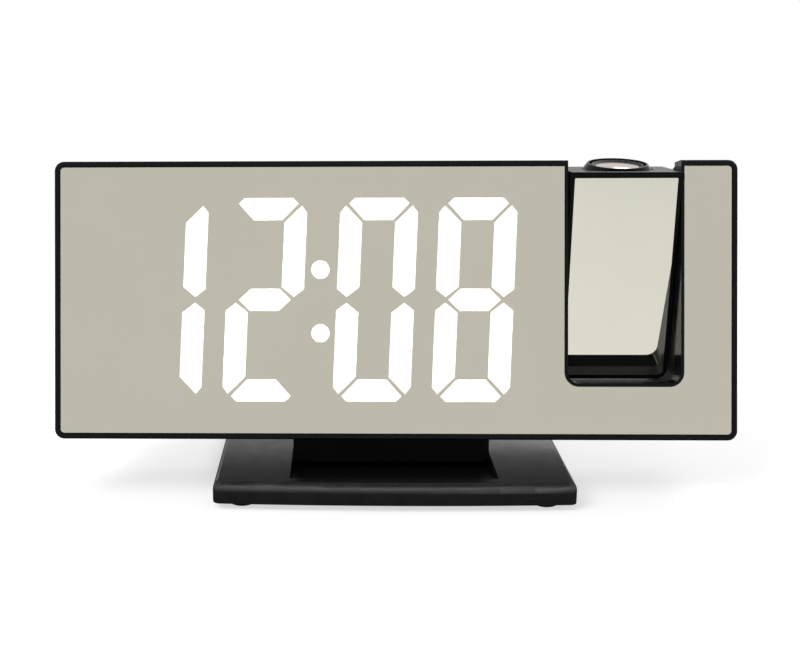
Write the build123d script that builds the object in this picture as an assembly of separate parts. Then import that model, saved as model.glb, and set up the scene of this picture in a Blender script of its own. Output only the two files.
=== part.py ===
from build123d import *
import math
import os

# Projection alarm clock. Millimetres, X to the viewer's right, Y away from the viewer, Z up.
# The origin is on the table, under the middle of the base.
# The head is drawn upright (X across, Y = depth behind its face, Z up the face) and then leaned back.
# The projector arm is drawn shut in the head and then swung out to where it rests.

# ---------------------------------------------------------------- head
HEAD_W = 185.0
HEAD_H = 75.7
HEAD_DEPTH = 32.0
HEAD_CORNER_R = 2.6
HEAD_LEAN = 13.1            # degrees back from upright
BEZEL = 1.5                 # width of the frame's rim round the mirror
FRAME_DEPTH = 6.0
FRAME_WALL = 2.4
LEDGE_T = 1.6               # ledge that the mirror rests on
MIRROR_T = 1.8
MIRROR_RECESS = 0.2
COVER_STEP = 1.2            # rear cover's outline, in from the frame's
COVER_WALL = 2.0
COVER_SIDE_DRAFT = 3.0      # inward run of the cover's ends
COVER_CORNER_R = 3.0
COVER_EDGE_R = 1.6
RIM_EDGE_R = 0.5
BOSS_END = 8.0              # depth where the frame's bosses meet the cover's
WELL_DEPTH = 14.0           # depth of the seat of a case screw's head
WELL_WALL = 1.6
POST_TRIM = 0.4             # posts stop this far inside the cover's outside
CASE_BOSS_R = 3.2
CASE_SCREW_INSET = 8.9
CASE_SCREW_LOW = 14.0
CASE_SCREW_HIGH_L = 61.0
CASE_SCREW_HIGH_R = 50.0

# ---------------------------------------------------------------- notch for the projector arm
NOTCH_X = 62.2
NOTCH_W = 30.3
NOTCH_FLOOR = 15.4
NOTCH_CORNER_R = 3.0
NOTCH_RIM = 0.8             # rim between the notch and the mirror
NOTCH_WALL = 1.6

# ---------------------------------------------------------------- projector arm
ARM_SIDE_GAP = 0.4
ARM_FLOOR_GAP = 0.3
ARM_T = 22.0
ARM_AXIS_DEPTH = 10.5
SWING_R = 49.5              # notch floor below the arm's hinge axis
ARM_TOP = 10.8              # top edge above the hinge axis
ARM_TOP_SLOPE = 6.4
ARM_FACE_TAPER = 2.0        # degrees that the arm's face stands off its optical axis, thicker at the foot
ARM_WALL = 1.6
ARM_FACE_WALL = 2.4
ARM_REST_TILT = 17.0
ARM_MIRROR_T = 1.0
ARM_MIRROR_RECESS = 0.2
ARM_MIRROR_BEZEL = 1.0
ARM_MIRROR_TOP_BEZEL = 1.7
ARM_MIRROR_TOP_R = 0.3
ARM_POST_R = 1.9
ARM_SCREW_R = 0.9
ARM_SCREW_HEAD_R = 1.65
ARM_SCREW_HEAD_T = 1.0
ARM_SCREW_SINK = 1.4
ARM_PILOT_NEAR = 3.0        # pilot hole's end behind the arm's face
ARM_RIB_NEAR = 1.5          # ribs and posts start in the face wall
ARM_RIB_FAR = 1.0           # and end in the back wall
ARM_BACK_R = 3.0
ARM_LIP_R = 1.0
RING_WELL_WALL = 1.0
RING_WELL_FLOOR = 1.4
RING_WELL_DROP = 0.6        # well's rim below the arm's top
SLOT_L = 2.0                # driver slot in an arm screw
SLOT_W = 0.4
ARM_POST_HEIGHTS = (-42.0, -10.0)
CRADLE_HEIGHTS = (-30.0, -9.0)
PIVOT_R = 4.0
PIVOT_BORE_R = 2.6
PIVOT_FLANGE_R = 5.4
PIVOT_FLANGE_T = 1.0
PIVOT_END = 0.6             # pivot past its clip
CLIP_R = 5.8
CLIP_T = 1.2
WASHER_T = 0.8

# ---------------------------------------------------------------- projector optics
RING_R = 9.3
RING_LIP_R = 7.7
RING_H = 5.7
RING_PROUD = 0.3            # ring's rim above the arm's top front edge
RING_SLOPE_W = 1.15         # sloped outside of the rim
RING_SLOPE_H = 1.6
RING_LIP_T = 1.0
RING_RIBS = 32
RING_RIB_R = 0.35
RING_RIB_END = 0.5          # ribs stop this far from the band's edges
TUBE_R = 8.6
TUBE_BORE_R = 7.0
COLLAR_R = 7.9
CELL_WALL = 1.2
CELL_DROP = 0.3             # top of the lens cell below the ring's top
CELL_SLOPE_W = 0.9          # funnel from the cell's rim down to the lens
CELL_SLOPE_H = 0.45
CELL_L = 14.2
TUBE_FOOT = 2.0             # tube's lower end above the LED board
LENS_SEAT_T = 1.0
LENS_BULGE = 0.4
FOCUS_LENS_T = 3.6
CONDENSER_H = -26.0
CONDENSER_T = 3.0
SLIDE_H = -18.0
SLIDE_T = 1.2
LED_H = -36.0
RIB_T = 1.6
BOARD_T = 1.6
LED_BOARD_D = 14.0
LED_BOARD_INSET = 4.2       # LED board's ends in from the arm's walls
PROJECTOR_LED_R = 2.5
PROJECTOR_LED_H = 1.6
PROJECTOR_DOME_R = 1.8

# ---------------------------------------------------------------- base
BASE_W = 97.8
BASE_D = 60.0
BASE_H = 6.0
BASE_BOW = 1.2              # how far the front and back edges bow out
BASE_CORNER_R = 2.1
BASE_EDGE_R = 3.0           # round of the top edge, cut off by the flat top at a crease
BASE_CREASE_DROP = 0.45     # flat top below the top of that round
BASE_SKIN = 2.0
BASE_WALL = 1.8
BASE_FRONT_REACH = 8.6      # base front ahead of the head's lower front edge
HEAD_GAP = 9.5              # head's lower front edge above the base
PLATE_T = 1.0
FOOT_R = 3.7
FOOT_H = 1.8
FOOT_SEAT = 0.5
FOOT_EDGE_R = 0.5
FOOT_INSET_X = 7.7
FOOT_INSET_Y = 5.8
RECESS_DEPTH = 3.4
RECESS_FRONT = 4.5          # recess behind the base's front edge
RECESS_BACK_GAP = 1.2       # recess behind the neck's back
BALLAST_GAP = 0.3
SCREW_BOSS_R = 2.4

# ---------------------------------------------------------------- neck and tilt hinge
NECK_W = 55.6
NECK_T = 5.0
NECK_SIDE_GAP = 0.3
HINGE_BACK = 16.3           # hinge axis behind the head's lower front edge
HINGE_DROP = 1.7            # hinge axis below the base's top
HINGE_PIN_R = 1.0
HINGE_WASHER_T = 0.6
HINGE_BOSS = 6.0            # block each side of the recess that holds the pin's end
HINGE_BOSS_HALF = 3.0
HINGE_END_SKIN = 1.0
NECK_PILOT = 5.0

# ---------------------------------------------------------------- display
DIGIT_W = 21.2
DIGIT_H = 55.7
DIGIT_PITCH = 27.0
DIGIT_BASE = 10.1           # digits above the head's lower edge
DIGIT_SLANT = 2.4
HOURS_LEFT = -73.9
MINUTES_LEFT = -16.65
STROKE = 6.1
STROKE_GAP = 0.6            # a cap's or bar's inner corners past the sides
CAP_CUT = 3.9               # a cap's outer edge starts this far in from the cell's side
CAP_TIP = (2.4, 1.5)        # a cap's tip, in from the cell's side and from its end
SIDE_CUT = 4.0              # a side's outer edge starts this far from the cell's end
SIDE_TIP = (1.5, 2.1)
SIDE_IN = 0.7               # a side's inner corner past the cap
SIDE_MID = (2.7, 0.8)       # a side's tip beside the bar, in from the side and off the middle
SIDE_MID_OUT = 2.9
SIDE_MID_IN = 3.5
BAR_TIP = 3.5
COLON_X = -19.9
COLON_R = 2.5
COLON_LOW = 28.8
COLON_HIGH = 46.2
LIGHT_BOX_DEPTH = 6.4
LIGHT_BOX_MARGIN = 3.6
WINDOW_GAP = 8.0            # display window's right edge from the notch's lining
POST_OUT_L = 5.2            # display board's posts outside the window
POST_OUT_R = 3.8
POST_HEIGHTS = (24.0, 51.0)
EAR_LAP = 4.0               # board's ears past the posts, up and down
BOARD_LAP = 0.5             # board past the window, each side
DIFFUSER_T = 0.8
LED_SIZE = 2.8
LED_T = 0.7
TIME_SHOWN = "1208"

# ---------------------------------------------------------------- back of the head
BUTTON_X = (-40.0, -26.0, -12.0, 2.0, 16.0)
BUTTON_Z = 57.0
BUTTON_L = 9.0
BUTTON_H = 5.4
BUTTON_PROUD = 1.2
BUTTON_TRAVEL = 0.7
BUTTON_FLANGE = 1.0
BUTTON_FLANGE_W = 1.2
BUTTON_EDGE_R = 0.5
BUTTON_STEM_R = 1.4
SWITCH_SIZE = 5.0
SWITCH_H = 1.8
SWITCH_STEM_R = 1.5
SWITCH_STEM_H = 0.4
SOCKET_X = -48.0
SOCKET_Z = 28.0
SOCKET_W = 9.0
SOCKET_H = 3.3
SOCKET_SINK = 0.4           # socket's mouth inside the cover's back
SOCKET_SHELL_T = 0.35
SOCKET_FLOOR = 0.8
TONGUE_W = 6.6
TONGUE_T = 0.7
BUZZER_X = -18.0
BUZZER_Z = 31.0
BUZZER_R = 7.0
BUZZER_H = 2.6
BUZZER_HOLE_R = 1.2
BUZZER_HOLE_DEPTH = 0.6
GRILLE_HOLE_R = 0.8
GRILLE_RINGS = ((6, 2.8), (12, 5.6))    # holes in a ring and its radius
MAIN_BOARD_DEPTH = 23.6
BOARD_LEFT = -62.0
BOARD_LOW = 19.0
BOARD_STEP = 44.0           # the board is wider above this height
BOARD_HIGH = 65.0
BOARD_RIGHT_LOW = -2.0
BOARD_RIGHT_HIGH = 26.0
PEG_INSET = 4.0
PEG_R = 2.2
BATTERY_X = 24.0
BATTERY_Z = 28.0
COIN_R = 10.0
COIN_T = 3.2
COIN_CAP_INSET = 0.9
COIN_CAP_STEP = 0.5
CLIP_SPRING_T = 0.4
CLIP_WALL_T = 0.6
CLIP_WALL_H = 3.6
CLIP_HALF_W = 3.0
CONTACT_R = 2.2
COVER_LAP = 1.5             # battery cover past the pocket, each side
POCKET_WALL = 1.6
POCKET_W = 27.0
POCKET_H = 25.0
POCKET_DEPTH = 6.6
COVER_PLATE_T = 1.5
POCKET_R = 2.0
GRIP_W = 10.0               # finger groove in the battery cover
GRIP_H = 1.6
GRIP_DEPTH = 0.6
GRIP_INSET = 1.8

# ---------------------------------------------------------------- fits
OVER = 1.0                  # how far a cutter runs past the face that it opens
SMALL_R = 0.6               # least radius of an outline drawn inside another
FIT = 0.1                   # glued or dropped-in piece, each side
RUN = 0.05                  # running fit of a shaft, on the radius
PLAY = 0.3                  # between pieces that move past each other
SCREW_R = 1.2
SCREW_HEAD_R = 2.3
SCREW_HEAD_T = 1.2
SCREW_CLEAR = 0.2           # hole round a screw that only passes through
SCREW_SKIN = 1.2            # left solid past a pilot hole
SCREW_TIP_GAP = 0.4
CROSS_W = 0.5               # cross recess in a screw's head
CROSS_L = 2.6
CROSS_DEPTH = 0.5

# ---------------------------------------------------------------- derived places
LEAN_TAN = math.tan(math.radians(HEAD_LEAN))
BASE_TOP = FOOT_H + BASE_H
HEAD_FRONT_Y = -BASE_D / 2 + BASE_FRONT_REACH
HEAD_PLACE = Pos(0, HEAD_FRONT_Y, BASE_TOP + HEAD_GAP) * Rot(-HEAD_LEAN, 0, 0)

LEDGE_DEPTH = MIRROR_RECESS + MIRROR_T
SCREW_TIP = LEDGE_DEPTH + SCREW_SKIN + SCREW_TIP_GAP
BOX_FRONT = LEDGE_DEPTH + FIT
BOX_BACK = BOX_FRONT + LIGHT_BOX_DEPTH
BOARD_BACK = BOX_BACK + BOARD_T
LINING_L = NOTCH_X - NOTCH_W / 2 - NOTCH_WALL
LINING_R = NOTCH_X + NOTCH_W / 2 + NOTCH_WALL
WINDOW_L = HOURS_LEFT - LIGHT_BOX_MARGIN
WINDOW_R = LINING_L - WINDOW_GAP
WINDOW_LOW = DIGIT_BASE - LIGHT_BOX_MARGIN
WINDOW_HIGH = DIGIT_BASE + DIGIT_H + LIGHT_BOX_MARGIN
BOARD_POSTS = [(x, z) for x in (WINDOW_L - POST_OUT_L, WINDOW_R + POST_OUT_R) for z in POST_HEIGHTS]
CASE_SCREW_X = HEAD_W / 2 - CASE_SCREW_INSET
CASE_SCREWS = [(-CASE_SCREW_X, CASE_SCREW_LOW), (-CASE_SCREW_X, CASE_SCREW_HIGH_L),
               (CASE_SCREW_X, CASE_SCREW_LOW), (CASE_SCREW_X, CASE_SCREW_HIGH_R)]

ARM_W = NOTCH_W - 2 * ARM_SIDE_GAP
ARM_AXIS_Z = NOTCH_FLOOR + SWING_R
TAPER_TAN = math.tan(math.radians(ARM_FACE_TAPER))
ARM_TOE = ARM_AXIS_DEPTH + (ARM_TOP + SWING_R) * TAPER_TAN      # most that the foot reaches ahead of the axis
ARM_BOTTOM = -math.sqrt((SWING_R - ARM_FLOOR_GAP) ** 2 - ARM_TOE ** 2)
ARM_AXIS = Pos(NOTCH_X, ARM_AXIS_DEPTH, ARM_AXIS_Z)
ARM_PLACE = HEAD_PLACE * ARM_AXIS * Rot(ARM_REST_TILT, 0, 0)
ARM_BACK = ARM_T - ARM_AXIS_DEPTH       # arm's back face behind its hinge axis
ARM_MID = ARM_T / 2 - ARM_AXIS_DEPTH    # optical axis behind the hinge axis
ARM_FACE_PLACE = Pos(0, -ARM_AXIS_DEPTH, ARM_TOP) * Rot(-ARM_FACE_TAPER, 0, 0)
RING_TOP = ARM_TOP + RING_PROUD
RING_BOTTOM = RING_TOP - RING_H
CELL_TOP = RING_TOP - CELL_DROP
LENS_TOP = CELL_TOP - CELL_SLOPE_H
LENS_CELL_R = TUBE_BORE_R - RUN
LENS_R = LENS_CELL_R - CELL_WALL
ARM_POST_X = ARM_W / 2 - ARM_WALL - 2.0
ARM_POSTS = [(x, h) for x in (-ARM_POST_X, ARM_POST_X) for h in ARM_POST_HEIGHTS]

HINGE_Y = HEAD_FRONT_Y + HINGE_BACK
HINGE_Z = BASE_TOP - HINGE_DROP
RECESS_W = NECK_W + 2 * NECK_SIDE_GAP
RECESS_BACK = HINGE_Y + NECK_T / 2 + RECESS_BACK_GAP
PLATE_TOP = FOOT_H + PLATE_T
# The cover's underside is level when the head leans back, so the neck stands square under it.
NECK_TOP = BASE_TOP + HEAD_GAP + COVER_STEP * math.cos(math.radians(HEAD_LEAN)) - \
    FRAME_DEPTH * math.sin(math.radians(HEAD_LEAN))
NECK_SCREW_X = (-NECK_W / 3, 0.0, NECK_W / 3)


# ================================================================ small helpers
def box(x0, x1, y0, y1, z0, z1):
    return Pos((x0 + x1) / 2, (y0 + y1) / 2, (z0 + z1) / 2) * Box(x1 - x0, y1 - y0, z1 - z0)


def slab(sketch, near, far):
    """A sketch drawn on the face, filled from one depth to another."""
    return Pos(0, far, 0) * extrude(Plane.XZ * sketch, amount=far - near, dir=(0, -1, 0))


def panel(x0, x1, z0, z1, r=0.0):
    width, height = x1 - x0, z1 - z0
    shape = RectangleRounded(width, height, r) if r else Rectangle(width, height)
    return Pos((x0 + x1) / 2, (z0 + z1) / 2) * shape


def peg(x, z, r, near, far):
    """A round bar along the depth."""
    return slab(Pos(x, z) * Circle(r), near, far)


def upright(x, y, r, low, high):
    return Pos(x, y, (low + high) / 2) * Cylinder(r, high - low)


def crossbar(y, z, r, x0, x1):
    return Pos((x0 + x1) / 2, y, z) * Rot(0, 90, 0) * Cylinder(r, x1 - x0)


def group(pieces):
    return Compound(children=list(pieces))


def save(name, shape):
    solids = shape.solids()
    export_step(solids[0] if len(solids) == 1 else Compound(children=list(solids)), f"parts/{name}.step")


def screw(x, z, head_near, tip):
    """A screw along the depth, its head at the back."""
    head = peg(x, z, SCREW_HEAD_R, head_near, head_near + SCREW_HEAD_T)
    long, wide = CROSS_L / 2, CROSS_W / 2
    bars = panel(x - long, x + long, z - wide, z + wide) + panel(x - wide, x + wide, z - long, z + long)
    cross = slab(bars, head_near + SCREW_HEAD_T - CROSS_DEPTH, head_near + 2 * SCREW_HEAD_T)
    return head + peg(x, z, SCREW_R, tip, head_near) - cross


# ================================================================ head outlines
def head_outline(inset=0.0):
    return panel(-HEAD_W / 2 + inset, HEAD_W / 2 - inset, inset, HEAD_H - inset,
                 max(HEAD_CORNER_R - inset, SMALL_R))


def notch_outline(grow=0.0):
    """The notch, open at the top, or its lining's outline when grown."""
    half = NOTCH_W / 2 + grow
    low, high = NOTCH_FLOOR - grow, HEAD_H + NOTCH_W
    return panel(NOTCH_X - half, NOTCH_X + half, low, high, NOTCH_CORNER_R + grow)


def mirror_outline(gap=0.0):
    return head_outline(BEZEL + gap) - notch_outline(NOTCH_RIM + gap)


def cover_loft(inset, near, far):
    """Tapered block whose top and underside slope by the head's lean."""
    def section(depth):
        run = depth - FRAME_DEPTH
        rise = COVER_STEP + inset + run * LEAN_TAN
        side = COVER_STEP + inset + COVER_SIDE_DRAFT * run / (HEAD_DEPTH - FRAME_DEPTH)
        face = panel(-HEAD_W / 2 + side, HEAD_W / 2 - side, rise, HEAD_H - rise, COVER_CORNER_R)
        return Pos(0, depth, 0) * (Plane.XZ * face)
    return loft([section(near), section(far)])


# ================================================================ front frame and rear cover
def front_frame():
    outline = head_outline()
    lining = notch_outline(NOTCH_WALL) & outline
    rim = slab(outline - mirror_outline(), 0, LEDGE_DEPTH)
    window = panel(WINDOW_L - FIT, WINDOW_R + FIT, WINDOW_LOW - FIT, WINDOW_HIGH + FIT)
    ledge = slab(outline - window, LEDGE_DEPTH, LEDGE_DEPTH + LEDGE_T)
    skirt = slab(outline - (head_outline(FRAME_WALL) - lining), LEDGE_DEPTH + LEDGE_T, FRAME_DEPTH)
    frame = rim + ledge + skirt
    for x, z in CASE_SCREWS:
        frame += peg(x, z, CASE_BOSS_R, LEDGE_DEPTH, BOSS_END)
    for x, z in BOARD_POSTS:
        frame += peg(x, z, SCREW_BOSS_R, LEDGE_DEPTH, BOX_BACK)
    for x, z in CASE_SCREWS + BOARD_POSTS:
        frame -= peg(x, z, SCREW_R, LEDGE_DEPTH + SCREW_SKIN, BOX_BACK + OVER)
    frame -= slab(notch_outline(), -OVER, HEAD_DEPTH)
    front_edges = frame.edges().filter_by_position(Axis.Y, -0.01, 0.01)
    outer = [e for e in front_edges if on_outline(e)]
    return fillet(outer, RIM_EDGE_R)


def on_outline(edge):
    """True for the front edges on the head's outside, and not for those round the mirror or the notch."""
    centre = edge.center()
    inside = BEZEL / 2
    beside_notch = abs(centre.X - NOTCH_X) < NOTCH_W / 2 + NOTCH_RIM and centre.Z < HEAD_H - 0.01
    near_rim = (abs(centre.X) > HEAD_W / 2 - inside or centre.Z < inside or centre.Z > HEAD_H - inside)
    return near_rim and not beside_notch


def cover_shell():
    outer = cover_loft(0, FRAME_DEPTH, HEAD_DEPTH)
    back_edges = outer.edges().filter_by_position(Axis.Y, HEAD_DEPTH - 0.01, HEAD_DEPTH + 0.01)
    outer = fillet(back_edges, COVER_EDGE_R)
    hollow = cover_loft(COVER_WALL, FRAME_DEPTH, HEAD_DEPTH - COVER_WALL)
    return outer, hollow


def grille():
    """Holes in front of the buzzer: one in the middle and two rings."""
    spots = [(0.0, 0.0)]
    for count, radius in GRILLE_RINGS:
        for i in range(count):
            angle = 2 * math.pi * i / count
            spots.append((radius * math.cos(angle), radius * math.sin(angle)))
    near, far = HEAD_DEPTH - 2 * COVER_WALL, HEAD_DEPTH + OVER
    return group(peg(BUZZER_X + x, BUZZER_Z + z, GRILLE_HOLE_R, near, far) for x, z in spots)


def pocket_panel(grow=0.0):
    half_w, half_h = POCKET_W / 2 + grow, POCKET_H / 2 + grow
    return panel(BATTERY_X - half_w, BATTERY_X + half_w, BATTERY_Z - half_h, BATTERY_Z + half_h,
                 POCKET_R + grow)


def board_pegs():
    left, low, high = BOARD_LEFT + PEG_INSET, BOARD_LOW + PEG_INSET, BOARD_STEP + PEG_INSET
    right_low, right_high = BOARD_RIGHT_LOW - PEG_INSET, BOARD_RIGHT_HIGH - PEG_INSET
    return [(left, low), (right_low, low), (left, high), (right_high, high)]


def rear_cover():
    outer, hollow = cover_shell()
    cover = outer - (hollow - slab(notch_outline(NOTCH_WALL), FRAME_DEPTH, HEAD_DEPTH))
    in_back = HEAD_DEPTH - COVER_WALL / 2
    well_r = SCREW_HEAD_R + PLAY
    posts = [peg(x, z, well_r + WELL_WALL, BOSS_END, in_back) for x, z in CASE_SCREWS]
    posts += [peg(x, z, PEG_R, MAIN_BOARD_DEPTH + BOARD_T, in_back) for x, z in board_pegs()]
    posts.append(slab(pocket_panel(POCKET_WALL), HEAD_DEPTH - POCKET_DEPTH - POCKET_WALL, in_back))
    for post in posts:
        cover += post & cover_loft(POST_TRIM, BOSS_END, HEAD_DEPTH - POST_TRIM)
    for x, z in CASE_SCREWS:
        cover -= peg(x, z, CASE_BOSS_R + FIT, 0, BOSS_END)
        cover -= peg(x, z, well_r, WELL_DEPTH, HEAD_DEPTH + OVER)
        cover -= peg(x, z, SCREW_R + SCREW_CLEAR, BOSS_END - OVER, WELL_DEPTH + OVER)
    for x, z in board_pegs():
        cover -= peg(x, z, SCREW_R, MAIN_BOARD_DEPTH, HEAD_DEPTH - SCREW_SKIN)
    cover -= slab(notch_outline(), 0, HEAD_DEPTH + OVER)
    cover -= crossbar(ARM_AXIS_DEPTH, ARM_AXIS_Z, PIVOT_R + RUN, LINING_L - OVER, LINING_R + OVER)
    cover -= slab(pocket_panel(), HEAD_DEPTH - POCKET_DEPTH, HEAD_DEPTH + OVER)
    cover -= slab(pocket_panel(COVER_LAP + PLAY), HEAD_DEPTH - COVER_PLATE_T, HEAD_DEPTH + OVER)
    cover -= grille()
    for x in BUTTON_X:
        cover -= slab(Pos(x, BUTTON_Z) * SlotOverall(BUTTON_L + 2 * PLAY, BUTTON_H + 2 * PLAY),
                      HEAD_DEPTH - 2 * COVER_WALL, HEAD_DEPTH + OVER)
    cover -= slab(Pos(SOCKET_X, SOCKET_Z) * SlotOverall(SOCKET_W + 2 * FIT, SOCKET_H + 2 * FIT),
                  HEAD_DEPTH - 2 * COVER_WALL, HEAD_DEPTH + OVER)
    cover = HEAD_PLACE * cover
    for x in NECK_SCREW_X:
        cover -= upright(x, HINGE_Y, SCREW_R + FIT, NECK_TOP - OVER, NECK_TOP + 2 * COVER_WALL)
    return cover


def case_screws():
    return group(screw(x, z, WELL_DEPTH, SCREW_TIP) for x, z in CASE_SCREWS)


# ================================================================ mirror and display
def mirror_panel():
    return slab(mirror_outline(FIT), MIRROR_RECESS, LEDGE_DEPTH)


def slant(points, left):
    """Cell coordinates of a digit, leaned to the right and put in its place."""
    lean = math.tan(math.radians(DIGIT_SLANT))
    return Polygon(*[(left + u + v * lean, DIGIT_BASE + v) for u, v in points], align=None)


def segment_points(name):
    """Corners of one stroke of a digit in its cell: a top, d foot, g middle, b c f e the sides."""
    w, h, t, mid = DIGIT_W, DIGIT_H, STROKE, DIGIT_H / 2
    tip_u, tip_v = CAP_TIP
    inner = t + STROKE_GAP
    side = [(0, h - SIDE_CUT), (SIDE_TIP[0], h - SIDE_TIP[1]), (t, h - t - SIDE_IN), (t, mid + SIDE_MID_IN),
            (SIDE_MID[0], mid + SIDE_MID[1]), (0, mid + SIDE_MID_OUT)]
    cap = [(tip_u, h - tip_v), (CAP_CUT, h), (w - CAP_CUT, h), (w - tip_u, h - tip_v),
           (w - inner, h - t), (inner, h - t)]
    bar = [(BAR_TIP, mid), (inner, mid + t / 2), (w - inner, mid + t / 2), (w - BAR_TIP, mid),
           (w - inner, mid - t / 2), (inner, mid - t / 2)]
    shapes = {
        "f": side,
        "b": [(w - u, v) for u, v in side],
        "e": [(u, h - v) for u, v in side],
        "c": [(w - u, h - v) for u, v in side],
        "a": cap,
        "d": [(u, h - v) for u, v in cap],
        "g": bar,
    }
    return shapes[name]


LIT = {"0": "abcdef", "1": "bc", "2": "abged", "8": "abcdefg"}
DIGITS = {
    "hour_tens": HOURS_LEFT,
    "hour_units": HOURS_LEFT + DIGIT_PITCH,
    "minute_tens": MINUTES_LEFT,
    "minute_units": MINUTES_LEFT + DIGIT_PITCH,
}


def segments(left, names, near, far):
    return [slab(slant(segment_points(name), left), near, far) for name in names]


def colon(near, far):
    return [peg(COLON_X, z, COLON_R, near, far) for z in (COLON_LOW, COLON_HIGH)]


def light_box():
    """Black block with one light well behind every stroke and dot."""
    block = slab(panel(WINDOW_L, WINDOW_R, WINDOW_LOW, WINDOW_HIGH), BOX_FRONT, BOX_BACK)
    for left in DIGITS.values():
        for well in segments(left, "abcdefg", BOX_FRONT - OVER, BOX_BACK + OVER):
            block -= well
    for well in colon(BOX_FRONT - OVER, BOX_BACK + OVER):
        block -= well
    return block


def diffusers(digit, lit):
    shown = LIT[TIME_SHOWN[list(DIGITS).index(digit)]]
    names = [name for name in "abcdefg" if (name in shown) == lit]
    return segments(DIGITS[digit], names, BOX_FRONT, BOX_FRONT + DIFFUSER_T)


def led_spots():
    spots = [(COLON_X, COLON_LOW), (COLON_X, COLON_HIGH)]
    for left in DIGITS.values():
        for name in "abcdefg":
            face = slant(segment_points(name), left)
            spots.append((face.center().X, face.center().Y))
    return spots


def display_leds():
    half = LED_SIZE / 2
    near = BOX_BACK - LED_T
    return group(box(x - half, x + half, near, BOX_BACK, z - half, z + half) for x, z in led_spots())


def display_board():
    middle = panel(WINDOW_L - BOARD_LAP, WINDOW_R + BOARD_LAP, WINDOW_LOW, WINDOW_HIGH)
    xs = [x for x, z in BOARD_POSTS]
    ears = panel(min(xs) - SCREW_BOSS_R, max(xs) + SCREW_BOSS_R,
                 min(POST_HEIGHTS) - EAR_LAP, max(POST_HEIGHTS) + EAR_LAP)
    board = slab(middle + ears, BOX_BACK, BOARD_BACK)
    for x, z in BOARD_POSTS:
        board -= peg(x, z, SCREW_R + SCREW_CLEAR, BOX_BACK - OVER, BOARD_BACK + OVER)
    return board


def display_board_screws():
    return group(screw(x, z, BOARD_BACK, SCREW_TIP) for x, z in BOARD_POSTS)


# ================================================================ electronics and controls at the back
def main_board():
    upper = panel(BOARD_LEFT, BOARD_RIGHT_HIGH, BOARD_STEP, BOARD_HIGH)
    lower = panel(BOARD_LEFT, BOARD_RIGHT_LOW, BOARD_LOW, BOARD_STEP)
    near, far = MAIN_BOARD_DEPTH, MAIN_BOARD_DEPTH + BOARD_T
    board = slab(upper + lower, near, far)
    for x, z in board_pegs():
        board -= peg(x, z, SCREW_R + SCREW_CLEAR, near - OVER, far + OVER)
    return board


def main_board_screws():
    """Screws from the front side of the board into the cover's pegs."""
    pieces = []
    for x, z in board_pegs():
        near = MAIN_BOARD_DEPTH - SCREW_HEAD_T
        pieces.append(peg(x, z, SCREW_HEAD_R, near, MAIN_BOARD_DEPTH) +
                      peg(x, z, SCREW_R, MAIN_BOARD_DEPTH, HEAD_DEPTH - COVER_WALL))
    return group(pieces)


def button_switches():
    near = MAIN_BOARD_DEPTH + BOARD_T
    half = SWITCH_SIZE / 2
    return group(box(x - half, x + half, near, near + SWITCH_H, BUTTON_Z - half, BUTTON_Z + half) +
                 peg(x, BUTTON_Z, SWITCH_STEM_R, near, near + SWITCH_H + SWITCH_STEM_H) for x in BUTTON_X)


def push_button(x):
    """Pill-shaped cap with a flange behind the cover and a stem over its switch."""
    flange_back = HEAD_DEPTH - COVER_WALL - PLAY
    switch_top = MAIN_BOARD_DEPTH + BOARD_T + SWITCH_H + SWITCH_STEM_H
    face = HEAD_DEPTH + BUTTON_PROUD
    cap = slab(Pos(x, BUTTON_Z) * SlotOverall(BUTTON_L, BUTTON_H), flange_back, face)
    cap = fillet(cap.edges().filter_by_position(Axis.Y, face - 0.01, face + 0.01), BUTTON_EDGE_R)
    flange = SlotOverall(BUTTON_L + 2 * BUTTON_FLANGE_W, BUTTON_H + 2 * BUTTON_FLANGE_W)
    flange = slab(Pos(x, BUTTON_Z) * flange, flange_back - BUTTON_FLANGE, flange_back)
    stem = peg(x, BUTTON_Z, BUTTON_STEM_R, switch_top + BUTTON_TRAVEL + 2 * FIT, flange_back)
    return cap + flange + stem


def alarm_buzzer():
    near = MAIN_BOARD_DEPTH + BOARD_T
    far = near + BUZZER_H
    hole = peg(BUZZER_X, BUZZER_Z, BUZZER_HOLE_R, far - BUZZER_HOLE_DEPTH, far + OVER)
    return peg(BUZZER_X, BUZZER_Z, BUZZER_R, near, far) - hole


def power_socket():
    """USB-C style socket: an oval metal shell with a tongue inside."""
    near, far = MAIN_BOARD_DEPTH + BOARD_T, HEAD_DEPTH - SOCKET_SINK
    place = Pos(SOCKET_X, SOCKET_Z)
    mouth = SlotOverall(SOCKET_W - 2 * SOCKET_SHELL_T, SOCKET_H - 2 * SOCKET_SHELL_T)
    shell = slab(place * SlotOverall(SOCKET_W, SOCKET_H), near, far)
    shell -= slab(place * mouth, near + SOCKET_FLOOR, far + OVER)
    return shell + slab(place * Rectangle(TONGUE_W, TONGUE_T), near + SOCKET_FLOOR / 2, far - SOCKET_FLOOR)


def coin_cell():
    near = HEAD_DEPTH - POCKET_DEPTH + CLIP_WALL_T
    rim = peg(BATTERY_X, BATTERY_Z, COIN_R, near, near + COIN_T - COIN_CAP_STEP)
    return rim + peg(BATTERY_X, BATTERY_Z, COIN_R - COIN_CAP_INSET, near, near + COIN_T)


def battery_clip():
    """Flat spring strip under the cell and the clip's wall beside it."""
    near = HEAD_DEPTH - POCKET_DEPTH
    wall_x = BATTERY_X + COIN_R + FIT
    low, high = BATTERY_Z - CLIP_HALF_W, BATTERY_Z + CLIP_HALF_W
    strip = box(BATTERY_X - COIN_R, wall_x, near, near + CLIP_SPRING_T, low, high)
    wall = box(wall_x, wall_x + CLIP_WALL_T, near, near + CLIP_WALL_H, low, high)
    return strip + wall + peg(BATTERY_X, BATTERY_Z, CONTACT_R, near, near + CLIP_WALL_T)


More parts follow.
